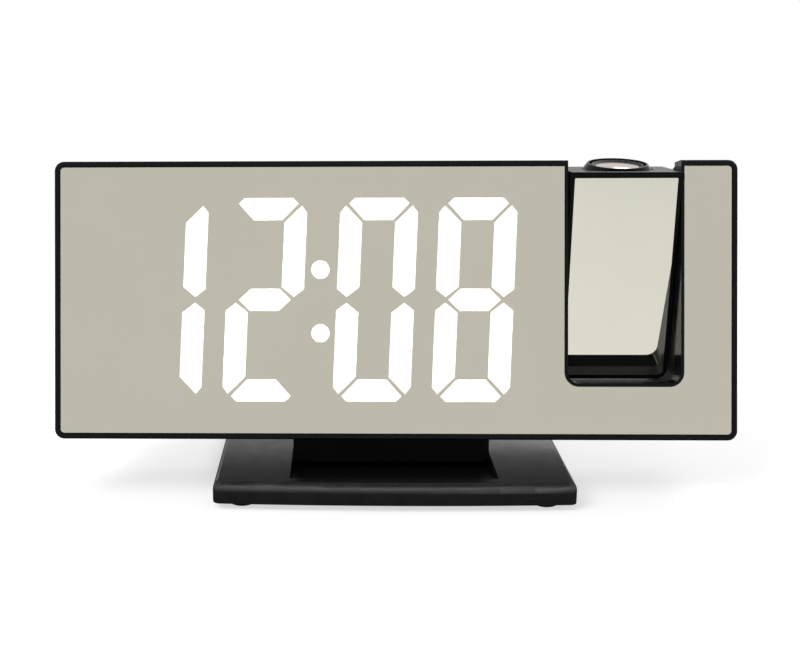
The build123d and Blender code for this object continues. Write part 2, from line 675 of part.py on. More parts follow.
def battery_cover():
    near = HEAD_DEPTH - COVER_PLATE_T
    plate = slab(pocket_panel(COVER_LAP), near, HEAD_DEPTH)
    high = BATTERY_Z + POCKET_H / 2 - GRIP_INSET
    groove = panel(BATTERY_X - GRIP_W / 2, BATTERY_X + GRIP_W / 2, high - GRIP_H, high)
    return plate - slab(groove, HEAD_DEPTH - GRIP_DEPTH, HEAD_DEPTH + OVER)


# ================================================================ neck and base
def neck():
    low = box(-NECK_W / 2, NECK_W / 2, HINGE_Y - NECK_T / 2, HINGE_Y + NECK_T / 2, HINGE_Z, NECK_TOP)
    barrel = crossbar(HINGE_Y, HINGE_Z, NECK_T / 2, -NECK_W / 2, NECK_W / 2)
    body = low + barrel
    for side in (-1, 1):
        end = side * NECK_W / 2
        inner, outer = end - side * (HINGE_WASHER_T + PLAY), end + side * OVER
        body -= crossbar(HINGE_Y, HINGE_Z, NECK_T / 2 + SMALL_R, min(inner, outer), max(inner, outer))
    body -= crossbar(HINGE_Y, HINGE_Z, HINGE_PIN_R + RUN, -NECK_W, NECK_W)
    for x in NECK_SCREW_X:
        body -= upright(x, HINGE_Y, SCREW_R, NECK_TOP - NECK_PILOT, NECK_TOP + OVER)
    return body


def neck_screws():
    """Screws from inside the cover, down into the neck."""
    seat = NECK_TOP + COVER_WALL * math.cos(math.radians(HEAD_LEAN))
    return group(upright(x, HINGE_Y, SCREW_R, NECK_TOP - NECK_PILOT + SCREW_TIP_GAP, seat) +
                 upright(x, HINGE_Y, SCREW_HEAD_R, seat, seat + SCREW_HEAD_T) for x in NECK_SCREW_X)


def base_outline(inset=0.0):
    """Rectangle whose front and back bow out a little."""
    x, y = BASE_W / 2 - inset, BASE_D / 2 - inset
    edge_y = y - BASE_BOW
    r = max(BASE_CORNER_R - inset, SMALL_R)
    front = ThreePointArc((-x, -edge_y), (0, -y), (x, -edge_y))
    back = ThreePointArc((x, edge_y), (0, y), (-x, edge_y))
    sides = [Line((x, -edge_y), (x, edge_y)), Line((-x, edge_y), (-x, -edge_y))]
    face = make_face([front, sides[0], back, sides[1]])
    return fillet(face.vertices(), r)


def foot_spots():
    x, y = BASE_W / 2 - FOOT_INSET_X, BASE_D / 2 - BASE_BOW - FOOT_INSET_Y
    return [(sx * x, sy * y) for sx in (-1, 1) for sy in (-1, 1)]


def base_screw_spots():
    x = BASE_W / 2 - FOOT_INSET_X
    return [(sx * x, sy * BASE_D / 5) for sx in (-1, 1) for sy in (-1, 1)]


def recess_box(low):
    front = -BASE_D / 2 + RECESS_FRONT
    return box(-RECESS_W / 2, RECESS_W / 2, front, RECESS_BACK, low, BASE_TOP + OVER)


def base_shell():
    peak = BASE_TOP + BASE_CREASE_DROP
    body = Pos(0, 0, FOOT_H) * extrude(base_outline(), amount=peak - FOOT_H)
    body = fillet(body.edges().filter_by_position(Axis.Z, peak - 0.01, peak + 0.01), BASE_EDGE_R)
    body -= box(-BASE_W, BASE_W, -BASE_D, BASE_D, BASE_TOP, peak + OVER)
    hollow = Pos(0, 0, FOOT_H - OVER) * extrude(base_outline(BASE_WALL), amount=BASE_H + OVER - BASE_SKIN)
    x = RECESS_W / 2 + HINGE_BOSS
    wall_x = RECESS_W / 2 + BASE_WALL
    hollow -= box(-wall_x, wall_x, -BASE_D / 2 + RECESS_FRONT - BASE_WALL, RECESS_BACK + BASE_WALL,
                  PLATE_TOP, BASE_TOP)
    hollow -= box(-x, x, HINGE_Y - HINGE_BOSS_HALF, HINGE_Y + HINGE_BOSS_HALF, PLATE_TOP, BASE_TOP)
    for sx, sy in base_screw_spots():
        hollow -= upright(sx, sy, SCREW_BOSS_R, PLATE_TOP, BASE_TOP)
    body -= hollow
    body -= recess_box(BASE_TOP - RECESS_DEPTH)
    body -= box(-RECESS_W / 2, RECESS_W / 2, HINGE_Y - NECK_T / 2 - PLAY, HINGE_Y + NECK_T / 2 + PLAY,
                FOOT_H, BASE_TOP)
    body -= crossbar(HINGE_Y, HINGE_Z, HINGE_PIN_R, HINGE_END_SKIN - x, x - HINGE_END_SKIN)
    for sx, sy in base_screw_spots():
        body -= upright(sx, sy, SCREW_R, FOOT_H, BASE_TOP - SCREW_SKIN)
    return body


def base_bottom_plate():
    plate = Pos(0, 0, FOOT_H) * extrude(base_outline(BASE_WALL + FIT), amount=PLATE_T)
    for x, y in foot_spots():
        plate -= upright(x, y, FOOT_R, FOOT_H - OVER, FOOT_H + FOOT_SEAT)
    for x, y in base_screw_spots():
        plate -= upright(x, y, SCREW_R + SCREW_CLEAR, FOOT_H - OVER, PLATE_TOP + OVER)
    return plate


def base_feet():
    feet = []
    for x, y in foot_spots():
        foot = upright(x, y, FOOT_R, 0, FOOT_H + FOOT_SEAT)
        feet.append(fillet(foot.edges().filter_by_position(Axis.Z, -0.01, 0.01), FOOT_EDGE_R))
    return group(feet)


def base_screws():
    return group(upright(x, y, SCREW_R, FOOT_H, BASE_TOP - SCREW_SKIN - SCREW_TIP_GAP) +
                 upright(x, y, SCREW_HEAD_R, FOOT_H - SCREW_HEAD_T, FOOT_H) for x, y in base_screw_spots())


def ballast_weight():
    """Steel plate behind the recess, between the screw bosses."""
    x = BASE_W / 2 - FOOT_INSET_X - SCREW_BOSS_R - BALLAST_GAP
    near = RECESS_BACK + BASE_WALL + BALLAST_GAP
    far = BASE_D / 2 - BASE_BOW - BASE_WALL - BALLAST_GAP
    return box(-x, x, near, far, PLATE_TOP, BASE_TOP - BASE_SKIN)


def hinge_pin():
    end = RECESS_W / 2 + HINGE_BOSS - HINGE_END_SKIN
    return crossbar(HINGE_Y, HINGE_Z, HINGE_PIN_R, -end, end)


def tilt_washers():
    pieces = []
    for s in (-1, 1):
        outer, inner = s * RECESS_W / 2, s * (RECESS_W / 2 - HINGE_WASHER_T)
        ring = crossbar(HINGE_Y, HINGE_Z, NECK_T / 2 - PLAY, min(outer, inner), max(outer, inner))
        pieces.append(ring - crossbar(HINGE_Y, HINGE_Z, HINGE_PIN_R, -NECK_W, NECK_W))
    return group(pieces)


# ================================================================ projector arm (origin on its hinge axis)
def arm_face(inset=0.0):
    half = ARM_W / 2 - inset
    round_r = max(NOTCH_CORNER_R - ARM_SIDE_GAP - inset, SMALL_R)
    lower = panel(-half, half, ARM_BOTTOM + inset, ARM_TOP + ARM_W, round_r)
    return lower & panel(-half, half, ARM_BOTTOM + inset, ARM_TOP - inset)


def arm_face_depth(h):
    """Depth of the arm's tapered face at a height."""
    return -ARM_AXIS_DEPTH - (ARM_TOP - h) * TAPER_TAN


def arm_block(inset=0.0, front=0.0):
    """The arm's outside, or its hollow when inset: the face outline cut by the side outline."""
    far = ARM_BACK - inset
    face = slab(arm_face(inset), -ARM_TOE, far)
    drop = (ARM_T - 2 * inset) * math.tan(math.radians(ARM_TOP_SLOPE))
    top, low = ARM_TOP - inset, ARM_BOTTOM + inset
    near_top, near_low = arm_face_depth(top) + front, arm_face_depth(low) + front
    side = Polygon((near_low, low), (far, low), (far, top - drop), (near_top, top), align=None)
    by_y = side.vertices().sort_by(Axis.X)
    back = sorted(by_y[2:], key=lambda v: v.Y)
    side = fillet(back, max(ARM_BACK_R - inset, SMALL_R))
    body = extrude(Plane.YZ * side, amount=ARM_W / 2, both=True)
    return face & body


def arm_housing():
    outer = arm_block()
    front_top = [e for e in outer.edges().filter_by(Axis.X)
                 if abs(e.center().Y + ARM_AXIS_DEPTH) < 0.01 and e.center().Z > 0]
    outer = fillet(front_top, ARM_LIP_R)
    shell = outer - arm_block(ARM_WALL, ARM_FACE_WALL)
    for x, h in ARM_POSTS:
        shell += peg(x, h, ARM_POST_R, arm_face_depth(h) + ARM_RIB_NEAR, ARM_BACK - ARM_RIB_FAR)
    for h in CRADLE_HEIGHTS + (LED_H - BOARD_T - RIB_T / 2,):
        shell += cradle(h)
    well_r, well_low = RING_R + PLAY, RING_BOTTOM - PLAY
    wall_low, wall_high = well_low - RING_WELL_FLOOR, ARM_TOP - RING_WELL_DROP
    shell += upright(0, ARM_MID, well_r + RING_WELL_WALL, wall_low, wall_high) & arm_block(FIT, FIT)
    shell -= upright(0, ARM_MID, well_r, well_low, ARM_TOP + OVER)
    shell -= upright(0, ARM_MID, TUBE_R, ARM_BOTTOM + ARM_WALL, ARM_TOP)
    shell -= crossbar(0, 0, PIVOT_R, -ARM_W, ARM_W)
    pocket = slab(arm_mirror_outline(FIT), -OVER, ARM_MIRROR_RECESS + ARM_MIRROR_T)
    return shell - ARM_FACE_PLACE * pocket


def cradle(h):
    """Rib across the arm for the optics tube or the LED board; its middle is cut out with the tube."""
    half = ARM_W / 2 - ARM_WALL / 2
    near, far = arm_face_depth(h) + ARM_RIB_NEAR, ARM_BACK - ARM_RIB_FAR
    return box(-half, half, near, far, h - RIB_T / 2, h + RIB_T / 2)


def arm_mirror_outline(gap=0.0):
    """Drawn on the arm's face, its heights measured from the face's top edge."""
    half = ARM_W / 2 - ARM_MIRROR_BEZEL + gap
    low = ARM_BOTTOM - ARM_TOP + ARM_MIRROR_BEZEL - gap
    high = gap - ARM_MIRROR_TOP_BEZEL
    r = NOTCH_CORNER_R - ARM_SIDE_GAP - ARM_MIRROR_BEZEL + gap
    whole = panel(-half, half, low, high + 2 * r, r)
    return whole & (panel(-half, half, low, high, ARM_MIRROR_TOP_R) + panel(-half, half, low, high - 2 * r))


def arm_screw_hole(x, h):
    pilot = peg(x, h, ARM_SCREW_R, ARM_PILOT_NEAR - ARM_AXIS_DEPTH, ARM_BACK + OVER)
    return pilot + peg(x, h, ARM_SCREW_HEAD_R + RUN, ARM_BACK - ARM_SCREW_SINK, ARM_BACK + OVER)


def arm_shells():
    housing = arm_housing()
    for x, h in ARM_POSTS:
        housing -= arm_screw_hole(x, h)
    low, high = ARM_BOTTOM - OVER, ARM_TOP + OVER
    front_half = box(-ARM_W, ARM_W, -ARM_TOE - OVER, 0, low, high)
    back_half = box(-ARM_W, ARM_W, 0, ARM_BACK + OVER, low, high)
    return housing & front_half, housing & back_half


def arm_mirror():
    return ARM_FACE_PLACE * slab(arm_mirror_outline(), ARM_MIRROR_RECESS, ARM_MIRROR_RECESS + ARM_MIRROR_T)


def arm_screws():
    pieces = []
    seat = ARM_BACK - ARM_SCREW_SINK
    top = seat + ARM_SCREW_HEAD_T
    for x, h in ARM_POSTS:
        shaft = peg(x, h, ARM_SCREW_R, ARM_PILOT_NEAR + SCREW_TIP_GAP - ARM_AXIS_DEPTH, seat)
        head = peg(x, h, ARM_SCREW_HEAD_R, seat, top)
        slot = slab(Pos(x, h) * Rectangle(SLOT_L, SLOT_W), top - SLOT_W, ARM_BACK + OVER)
        pieces.append(shaft + head - slot)
    return group(pieces)


def arm_pivot(side):
    """Hollow pivot held in the arm's wall, through the notch's wall into the head."""
    inner = ARM_W / 2 - ARM_WALL - PIVOT_FLANGE_T
    outer = NOTCH_W / 2 + NOTCH_WALL + WASHER_T + RUN + CLIP_T + PIVOT_END
    body = crossbar(0, 0, PIVOT_R, inner, outer)
    body += crossbar(0, 0, PIVOT_FLANGE_R, inner, inner + PIVOT_FLANGE_T)
    body -= crossbar(0, 0, PIVOT_BORE_R, inner - OVER, outer + OVER)
    return body if side > 0 else mirror(body, Plane.YZ)


def arm_clips():
    near = NOTCH_W / 2 + NOTCH_WALL + WASHER_T + RUN
    ring = crossbar(0, 0, CLIP_R, near, near + CLIP_T)
    ring -= crossbar(0, 0, PIVOT_R, near - OVER, near + CLIP_T + OVER)
    return group([ring, mirror(ring, Plane.YZ)])


def arm_washers():
    """Friction washers between the notch's walls and the clips; they stay with the head."""
    near = NOTCH_W / 2 + NOTCH_WALL
    ring = crossbar(0, 0, CLIP_R, near, near + WASHER_T)
    ring -= crossbar(0, 0, PIVOT_R + 2 * RUN, near - OVER, near + WASHER_T + OVER)
    return group([ring, mirror(ring, Plane.YZ)])


# ================================================================ optics (on the arm's optical axis)
def focus_ring():
    """Ribbed ring whose rim slopes outwards, with a small lip over the tube's collar."""
    y = ARM_MID
    body = upright(0, y, RING_R, RING_BOTTOM, RING_TOP)
    rim = body.edges().filter_by_position(Axis.Z, RING_TOP - 0.01, RING_TOP + 0.01)
    body = chamfer(rim, RING_SLOPE_H, RING_SLOPE_W, reference=body.faces().sort_by(Axis.Z)[1])
    body -= upright(0, y, RING_LIP_R, RING_BOTTOM - OVER, RING_TOP + OVER)
    body -= upright(0, y, COLLAR_R + RUN, RING_BOTTOM - OVER, RING_TOP - RING_LIP_T)
    low, high = RING_BOTTOM + RING_RIB_END, RING_TOP - RING_SLOPE_H - RING_RIB_END
    for i in range(RING_RIBS):
        angle = 2 * math.pi * i / RING_RIBS
        x, d = RING_R * math.cos(angle), RING_R * math.sin(angle)
        body -= upright(x, y + d, RING_RIB_R, low, high)
    return body


def optics_tube():
    y = ARM_MID
    low = LED_H + TUBE_FOOT
    body = upright(0, y, TUBE_R, low, RING_BOTTOM - PLAY)
    body += upright(0, y, COLLAR_R, low, RING_TOP - RING_LIP_T - PLAY)
    return body - upright(0, y, TUBE_BORE_R, low - OVER, ARM_TOP)


def focus_lens_cell():
    """Tube that slides in the optics tube; a funnel at its top leads down to the lens."""
    y = ARM_MID
    bore = upright(0, y, LENS_R, CELL_TOP - CELL_L - OVER, CELL_TOP + OVER)
    funnel = Pos(0, y, CELL_TOP - CELL_SLOPE_H / 2) * Cone(LENS_R, LENS_R + CELL_SLOPE_W, CELL_SLOPE_H)
    return upright(0, y, LENS_CELL_R, CELL_TOP - CELL_L, CELL_TOP) - bore - funnel + lens_seat()


def lens_seat():
    """Step under the lens."""
    y, high = ARM_MID, LENS_TOP - FOCUS_LENS_T
    step = upright(0, y, LENS_CELL_R - CELL_WALL / 2, high - LENS_SEAT_T, high)
    return step - upright(0, y, LENS_R - LENS_SEAT_T, high - 2 * LENS_SEAT_T, high + LENS_SEAT_T)


def focus_lens():
    """Convex glass, its edge in the cell."""
    y = ARM_MID
    ball = (LENS_R ** 2 + LENS_BULGE ** 2) / (2 * LENS_BULGE)
    disc = upright(0, y, LENS_R, LENS_TOP - FOCUS_LENS_T, LENS_TOP + LENS_BULGE)
    return disc & (Pos(0, y, LENS_TOP + LENS_BULGE - ball) * Sphere(ball))


def condenser_lens():
    y = ARM_MID
    return upright(0, y, TUBE_BORE_R, CONDENSER_H - CONDENSER_T / 2, CONDENSER_H + CONDENSER_T / 2)


def time_slide():
    y = ARM_MID
    return upright(0, y, TUBE_BORE_R, SLIDE_H - SLIDE_T / 2, SLIDE_H + SLIDE_T / 2)


def projector_led():
    y = ARM_MID
    rim_top = LED_H + PROJECTOR_LED_H
    dome = Pos(0, y, rim_top) * Sphere(PROJECTOR_DOME_R)
    upper = upright(0, y, PROJECTOR_LED_R, LED_H, rim_top + PROJECTOR_DOME_R)
    return upright(0, y, PROJECTOR_LED_R, LED_H, rim_top) + (dome & upper)


def projector_led_board():
    y = ARM_MID
    half = ARM_W / 2 - ARM_WALL - LED_BOARD_INSET
    return box(-half, half, y - LED_BOARD_D / 2, y + LED_BOARD_D / 2, LED_H - BOARD_T, LED_H)


# ================================================================ writing the nodes
def base_nodes():
    return {
        "base_shell": base_shell(),
        "base_bottom_plate": base_bottom_plate(),
        "base_ballast_weight": ballast_weight(),
        "base_feet": base_feet(),
        "base_screws": base_screws(),
        "tilt_hinge_pin": hinge_pin(),
        "tilt_friction_washers": tilt_washers(),
        "neck": neck(),
        "neck_screws": neck_screws(),
        "rear_cover": rear_cover(),
    }


def head_nodes():
    nodes = {
        "front_frame": front_frame(),
        "case_screws": case_screws(),
        "mirror_panel": mirror_panel(),
        "segment_light_box": light_box(),
        "colon_dots": group(colon(BOX_FRONT, BOX_FRONT + DIFFUSER_T)),
        "display_leds": display_leds(),
        "display_board": display_board(),
        "display_board_screws": display_board_screws(),
        "main_board": main_board(),
        "main_board_screws": main_board_screws(),
        "button_switches": button_switches(),
        "alarm_buzzer": alarm_buzzer(),
        "power_socket": power_socket(),
        "backup_coin_cell": coin_cell(),
        "battery_clip": battery_clip(),
        "battery_cover": battery_cover(),
        "arm_friction_washers": ARM_AXIS * arm_washers(),
    }
    for digit in DIGITS:
        for lit, word in ((True, "lit"), (False, "unlit")):
            strokes = diffusers(digit, lit)
            if strokes:
                nodes[f"{digit}_{word}_segments"] = group(strokes)
    names = ("mode_button", "set_button", "up_button", "down_button", "snooze_button")
    for name, x in zip(names, BUTTON_X):
        nodes[name] = push_button(x)
    return nodes


def arm_nodes():
    front, back = arm_shells()
    return {
        "arm_front_shell": front,
        "arm_rear_shell": back,
        "arm_mirror": arm_mirror(),
        "arm_shell_screws": arm_screws(),
        "arm_pivot_left": arm_pivot(-1),
        "arm_pivot_right": arm_pivot(1),
        "arm_retaining_clips": arm_clips(),
        "optics_tube": optics_tube(),
        "condenser_lens": condenser_lens(),
        "time_display_slide": time_slide(),
        "projector_led": projector_led(),
        "projector_led_board": projector_led_board(),
        "focus_ring": focus_ring(),
        "focus_lens_cell": focus_lens_cell(),
        "focus_lens": focus_lens(),
    }


os.makedirs("parts", exist_ok=True)
for node, shape in base_nodes().items():
    save(node, shape)
for node, shape in head_nodes().items():
    save(node, HEAD_PLACE * shape)
for node, shape in arm_nodes().items():
    save(node, ARM_PLACE * shape)
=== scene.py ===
import math

import bmesh
import bpy
from mathutils import Euler, Matrix, Vector


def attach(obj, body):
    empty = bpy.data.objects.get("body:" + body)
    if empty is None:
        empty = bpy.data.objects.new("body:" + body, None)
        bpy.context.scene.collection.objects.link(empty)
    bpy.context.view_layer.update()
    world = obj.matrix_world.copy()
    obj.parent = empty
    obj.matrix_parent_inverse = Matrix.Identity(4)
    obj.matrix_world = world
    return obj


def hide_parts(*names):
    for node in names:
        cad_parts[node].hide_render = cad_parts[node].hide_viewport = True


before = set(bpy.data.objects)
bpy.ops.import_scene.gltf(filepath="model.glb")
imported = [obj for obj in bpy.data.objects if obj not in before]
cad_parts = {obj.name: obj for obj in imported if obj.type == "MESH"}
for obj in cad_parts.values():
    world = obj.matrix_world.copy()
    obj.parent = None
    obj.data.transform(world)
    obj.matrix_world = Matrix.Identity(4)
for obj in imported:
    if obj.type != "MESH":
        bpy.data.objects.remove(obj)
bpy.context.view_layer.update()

# Metres and radians. The CAD frame: X to the viewer's right, Y away from the viewer, Z up.
MM = 0.001

# ---------------------------------------------------------------- camera
CAMERA_AT = Vector((-15.25, -303.80, 124.68)) * MM
CAMERA_PITCH = math.radians(13.316)
CAMERA_YAW = math.radians(1.393)
CAMERA_ROLL = math.radians(-0.326)
SENSOR_W = 36.0
LENS = 49.63
SHIFT_X = 0.11083
SHIFT_Y = -0.03635
CLIP_START = 0.01

# ---------------------------------------------------------------- floor
FLOOR_HALF = 4.0
FLOOR_FADE_START = 0.16     # from here to the fade's end the floor turns plain white
FLOOR_FADE_END = 0.6
FLOOR_SEEN = 0.5            # shade that takes the object's shadow
FLOOR_GLOW = 0.62           # added to it
FLOOR_PAINTED_SHADE_END = 0.085      # painted shadow: reflections, except in a mirror, are of a floor darkened this close to the middle
FLOOR_PALE_START = 0.13
FLOOR_PAINTED_SHADE = 0.06
FLOOR_PALE = 0.76

# ---------------------------------------------------------------- studio
SOFT_LEVEL = 0.5            # even light on matt surfaces
ROOM_FRONT = (-0.6, 0.70)   # Y of a direction, and the level that glossy surfaces see there
ROOM_BACK = (0.1, 0.75)
OVERHEAD_LEAN = -0.6        # the dark ceiling comes lower in front, by this much of Y
OVERHEAD_START = 0.92
OVERHEAD_END = 1.0
OVERHEAD_DARK = 0.1
BAND_Z = 0.5                # bright band in front, as Z of a direction
BAND_HALF = 0.07
BAND_LEVEL = 6.0
BAND_FRONT = -0.75          # Y of a direction: the band is whole before the first and gone after the second
BAND_FRONT_END = -0.6
LIGHT_TARGET = Vector((0, 0, 0.05))

# ---------------------------------------------------------------- head
HEAD_LEAN = math.radians(13.1)
HEAD_EDGE = Vector((0.0, -21.4, 17.3)) * MM       # the head's lower front edge, in the middle
DEPTH_DIR = Vector((0, math.cos(HEAD_LEAN), -math.sin(HEAD_LEAN)))
UP_DIR = Vector((0, math.sin(HEAD_LEAN), math.cos(HEAD_LEAN)))
HEAD_W = 185.0
HEAD_H = 75.7
MIRROR_INSET = 1.6
MIRROR_R = 1.0
MIRROR_FRONT = 0.2
MIRROR_BACK = 2.0
MIRROR_EDGE = 0.06
EDGE_EASE = 0.3             # middle of the rounded edge, as a share of it
NOTCH_X = 62.2
NOTCH_W = 30.3
NOTCH_FLOOR = 15.4
NOTCH_R = 3.0
NOTCH_RIM = 0.9
ARC_STEPS = 8

# ---------------------------------------------------------------- noise
# Scales are in cycles per metre. A swing is added to a roughness and taken off it.
PLASTIC_CLOUD = 90.0
PLASTIC_GLOSS = 240.0
PLASTIC_GLOSS_SWING = 0.03
PLASTIC_GRAIN = 2600.0
RUBBER_GRAIN = 2500.0
METAL_CLOUD = 300.0
METAL_GLOSS = 900.0
METAL_GLOSS_SWING = 0.05
FILM_CLOUD = 25.0
PHOSPHOR_CLOUD = 400.0
LENS_CLOUD = 110.0
GLASS_CLOUD = 150.0
GLASS_GLOSS = 300.0
BOARD_CLOUD = 700.0
BOARD_GLOSS = 400.0
NOISE_DETAIL = 3.0
GRAIN_DETAIL = 1.0
NOISE_ROUGHNESS = 0.55
NOISE_SPAN = (0.35, 0.65)   # the part of a noise's range that is used


def head_point(x, depth, up):
    """A point given in the upright head's millimetres, in the frame's metres."""
    return HEAD_EDGE + (Vector((x, 0, 0)) + DEPTH_DIR * depth + UP_DIR * up) * MM


# ================================================================ node helpers
class Tree:
    """Adds nodes to a node tree and joins them."""

    def __init__(self, tree):
        self.nodes, self.links = tree.nodes, tree.links

    def new(self, kind, **values):
        node = self.nodes.new(kind)
        for socket, value in values.items():
            node.inputs[socket.replace("_", " ")].default_value = value
        return node

    def coordinates(self, kind):
        return self.new("ShaderNodeTexCoord").outputs[kind]

    def math(self, operation, *values):
        """A Math node fed with numbers and with other nodes' outputs."""
        node = self.new("ShaderNodeMath")
        node.operation = operation
        for socket, value in zip(node.inputs, values):
            if isinstance(value, float):
                socket.default_value = value
            else:
                self.links.new(value, socket)
        return node.outputs[0]

    def remap(self, value, start, end, low, high, interpolation="SMOOTHSTEP"):
        """Turns start to end into low to high."""
        node = self.new("ShaderNodeMapRange", From_Min=start, From_Max=end, To_Min=low, To_Max=high)
        node.interpolation_type = interpolation
        self.links.new(value, node.inputs["Value"])
        return node.outputs["Result"]

    def mix(self, fac, first, second):
        node = self.new("ShaderNodeMixShader")
        for socket, value in zip(node.inputs, (fac, first, second)):
            self.links.new(value, socket)
        return node.outputs[0]

    def ray_is(self, kind, *others):
        """1 for rays of any of these kinds, otherwise 0."""
        path = self.new("ShaderNodeLightPath")
        total = path.outputs[kind]
        for other in others:
            total = self.math("MAXIMUM", total, path.outputs[other])
        return total

    def at_least(self, value, sharp_level):
        """The value, but no less than sharp_level for rays that come from a mirror."""
        return self.math("MAXIMUM", value, self.math("MULTIPLY", self.ray_is("Is Singular Ray"), sharp_level))


class Shader(Tree):
    """A material whose one Principled shader is fed by procedural nodes."""

    def __init__(self, name, **values):
        self.material = bpy.data.materials.new(name)
        self.material.use_nodes = True
        super().__init__(self.material.node_tree)
        self.bsdf = self.nodes["Principled BSDF"]
        for socket, value in values.items():
            self.bsdf.inputs[socket.replace("_", " ")].default_value = value

    def noise(self, scale, detail=NOISE_DETAIL):
        """Noise in the object's own coordinates."""
        noise = self.new("ShaderNodeTexNoise", Scale=scale, Detail=detail, Roughness=NOISE_ROUGHNESS)
        self.links.new(self.coordinates("Object"), noise.inputs["Vector"])
        return noise.outputs["Fac"]

    def shades(self, scale, dark, pale):
        ramp = self.new("ShaderNodeValToRGB")
        for element, position, shade in zip(ramp.color_ramp.elements, NOISE_SPAN, (dark, pale)):
            element.position = position
            element.color = (*shade, 1)
        self.links.new(self.noise(scale), ramp.inputs["Fac"])
        self.links.new(ramp.outputs["Color"], self.bsdf.inputs["Base Color"])

    def rough(self, scale, low, high):
        level = self.remap(self.noise(scale), *NOISE_SPAN, low, high, "LINEAR")
        self.links.new(level, self.bsdf.inputs["Roughness"])

    def bump(self, scale, distance):
        bump = self.new("ShaderNodeBump", Strength=1.0, Distance=distance)
        self.links.new(self.noise(scale, GRAIN_DETAIL), bump.inputs["Height"])
        self.links.new(bump.outputs["Normal"], self.bsdf.inputs["Normal"])


def plastic(name, dark, pale, rough, specular=0.5, grain=0.0, grain_scale=PLASTIC_GRAIN):
    """Moulded plastic: small shifts of shade and gloss, and a fine grain of the height given."""
    shader = Shader(name, Specular_IOR_Level=specular)
    shader.shades(PLASTIC_CLOUD, dark, pale)
    shader.rough(PLASTIC_GLOSS, rough - PLASTIC_GLOSS_SWING, rough + PLASTIC_GLOSS_SWING)
    if grain:
        shader.bump(grain_scale, grain)
    return shader.material


def metal(name, dark, pale, rough):
    shader = Shader(name, Metallic=1.0)
    shader.shades(METAL_CLOUD, dark, pale)
    shader.rough(METAL_GLOSS, rough - METAL_GLOSS_SWING, rough + METAL_GLOSS_SWING)
    return shader.material


def mirror_film(name, dark, pale, alpha):
    """Silvered film: quite smooth, with a faint cloud in its tint."""
    shader = Shader(name, Metallic=1.0, Alpha=alpha, Roughness=0.0)
    shader.shades(FILM_CLOUD, dark, pale)
    return shader.material


def glowing(name, dark, pale, glow, strength):
    shader = Shader(name, Emission_Color=(*glow, 1), Emission_Strength=strength, Roughness=0.4)
    shader.shades(PHOSPHOR_CLOUD, dark, pale)
    return shader.material


def glass(name, dark, pale):
    shader = Shader(name, Transmission_Weight=1.0, IOR=1.5, Coat_Weight=0.3)
    shader.shades(GLASS_CLOUD, dark, pale)
    shader.rough(GLASS_GLOSS, low=0.01, high=0.02)
    return shader.material


def coated_lens(name, dark, pale):
    """Lens that mostly shows its pale coating, with a clear gloss over it."""
    shader = Shader(name, Transmission_Weight=0.15, IOR=1.5, Coat_Weight=0.2)
    shader.shades(LENS_CLOUD, dark, pale)
    shader.rough(GLASS_GLOSS, low=0.05, high=0.08)
    return shader.material


def solder_mask(name, dark, pale):
    shader = Shader(name)
    shader.shades(BOARD_CLOUD, dark, pale)
    shader.rough(BOARD_GLOSS, low=0.3, high=0.4)
    return shader.material


# ================================================================ materials of the CAD nodes
MATERIALS = {
    "gloss": plastic("black_gloss", (0.003, 0.003, 0.0035), (0.0045, 0.0045, 0.005), rough=0.14,
                     specular=0.13),
    "satin": plastic("black_satin", (0.004, 0.004, 0.0042), (0.006, 0.006, 0.0062), rough=0.38, specular=0.9,
                     grain=0.00003),
    "cover": plastic("cover_black", (0.004, 0.004, 0.0045), (0.006, 0.006, 0.0065), rough=0.45, specular=0.12,
                     grain=0.00002),
    "inner": plastic("black_inner", (0.003, 0.003, 0.003), (0.005, 0.005, 0.005), rough=0.6, specular=0.2),
    "arm": plastic("arm_black", (0.003, 0.003, 0.0033), (0.0045, 0.0045, 0.005), rough=0.24, specular=0.06),
    "arm_mirror": mirror_film("arm_mirror_film", (0.85, 0.822, 0.72), (0.872, 0.842, 0.74), alpha=1.0),
    "lit": glowing("segment_lit", (0.88, 0.88, 0.88), (0.93, 0.93, 0.93), glow=(1.0, 0.99, 0.97),
                   strength=4.0),
    "unlit": plastic("segment_unlit", (0.004, 0.004, 0.004), (0.006, 0.006, 0.006), rough=0.6, specular=0.2),
    "board": solder_mask("solder_mask", (0.008, 0.05, 0.02), (0.015, 0.09, 0.035)),
    "led": plastic("led_phosphor", (0.75, 0.70, 0.45), (0.85, 0.80, 0.55), rough=0.4),
    "steel": metal("screw_steel", (0.45, 0.45, 0.46), (0.60, 0.60, 0.61), rough=0.30),
    "blackened": metal("blackened_steel", (0.010, 0.010, 0.011), (0.016, 0.016, 0.017), rough=0.35),
    "bright": metal("bright_zinc", (0.62, 0.62, 0.62), (0.72, 0.72, 0.72), rough=0.18),
    "rubber": plastic("foot_rubber", (0.014, 0.014, 0.014), (0.022, 0.022, 0.022), rough=0.7, grain=0.00003,
                      grain_scale=RUBBER_GRAIN),
    "washer": plastic("washer_grey", (0.35, 0.35, 0.35), (0.45, 0.45, 0.45), rough=0.5),
    "lens": coated_lens("coated_lens", (0.52, 0.43, 0.39), (0.55, 0.52, 0.48)),
    "glass": glass("clear_glass", (0.97, 0.98, 1.0), (0.9894, 0.9996, 1.0)),
}
